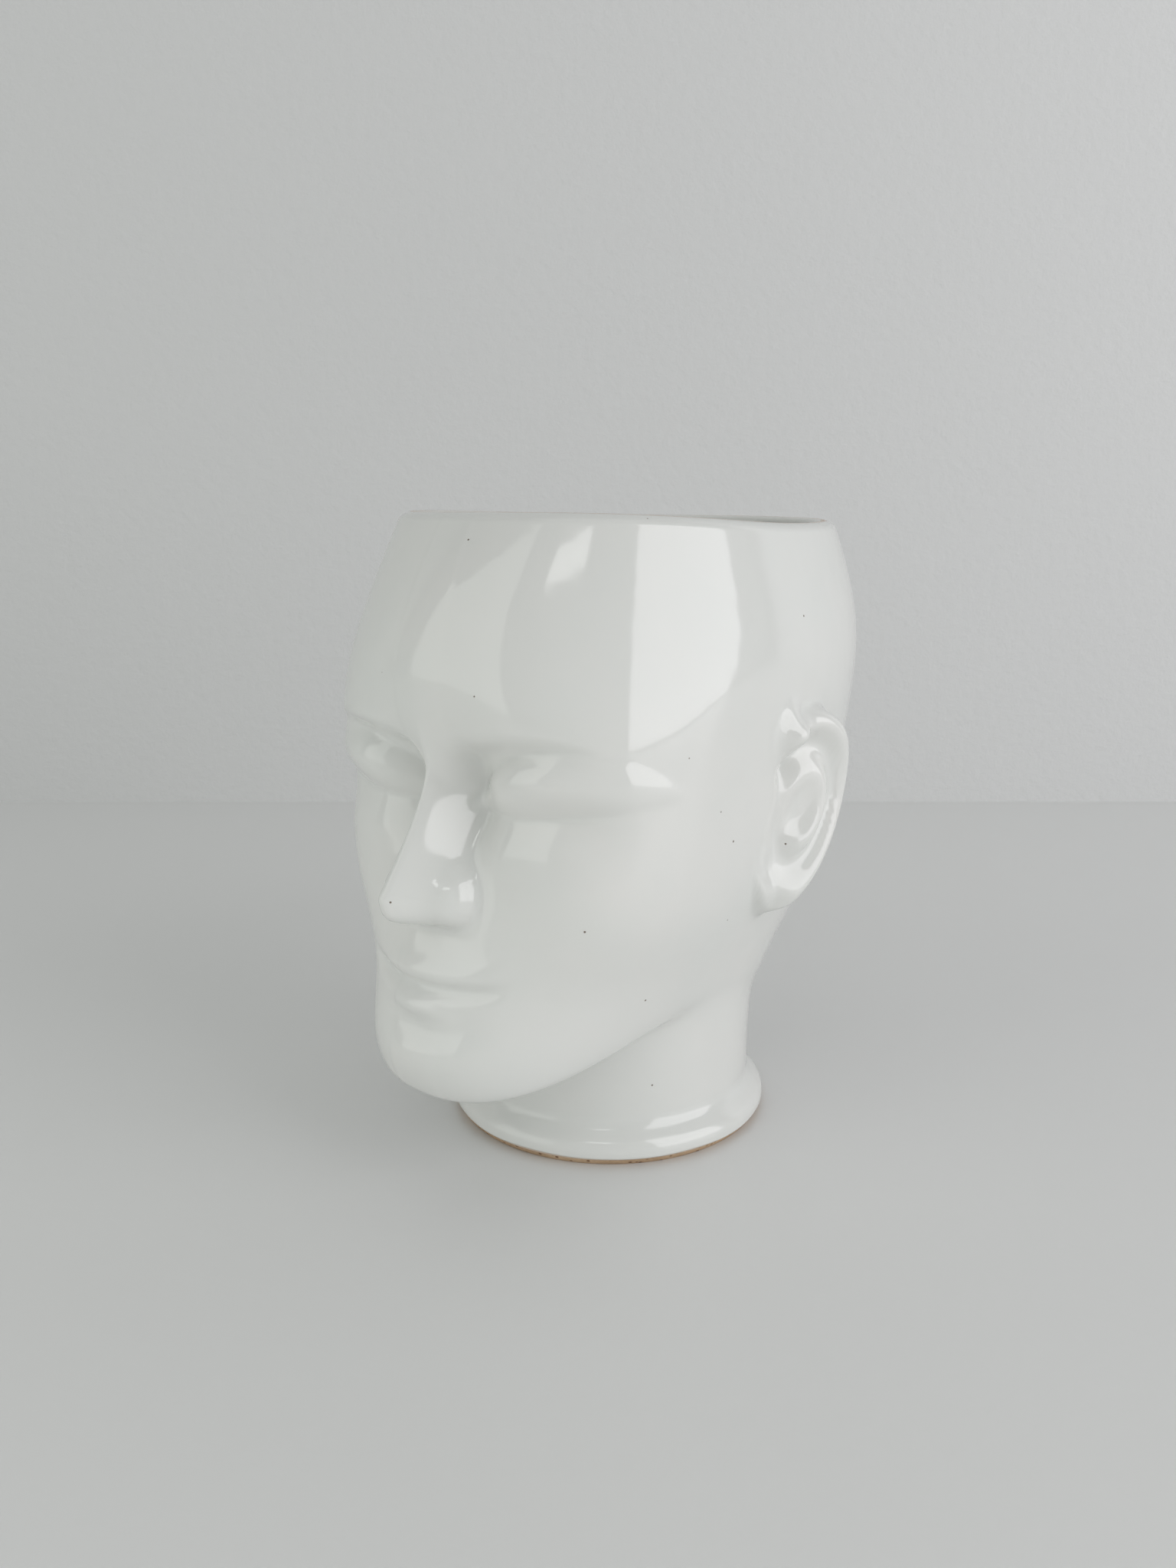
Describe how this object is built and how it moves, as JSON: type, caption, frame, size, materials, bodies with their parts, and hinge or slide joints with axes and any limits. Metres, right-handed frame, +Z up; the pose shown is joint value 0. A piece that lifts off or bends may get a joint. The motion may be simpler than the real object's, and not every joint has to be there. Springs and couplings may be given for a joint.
{
  "type": "head-shaped ceramic vase",
  "caption": "Glazed ceramic vase in the shape of a bald mannequin head, hollow and open at the top of the skull, standing on a thick neck with a flared round foot.",
  "frame": {"origin": "centre of the foot's flat underside, which rests on the table", "axes": "+Z up along the neck's axis, the face looks along -Y, +X is the head's own left"},
  "size_m": [0.1528, 0.1906, 0.2001],
  "materials": {
    "bare_clay": "fired tan earthenware, matt and slightly rough, seen only at the foot's edge and underside",
    "white_glaze": "glossy white glaze with soft window reflections, a few dark pinholes and a thin tan line where it runs thin on the lip",
    "inner_white_glaze": "glossy white glaze poured inside, slightly duller and more uneven than the outside"
  },
  "bodies": {
    "root": {"clay_body": "bare_clay", "outer_glaze": "white_glaze", "inner_glaze": "inner_white_glaze"}
  },
  "joints": []
}
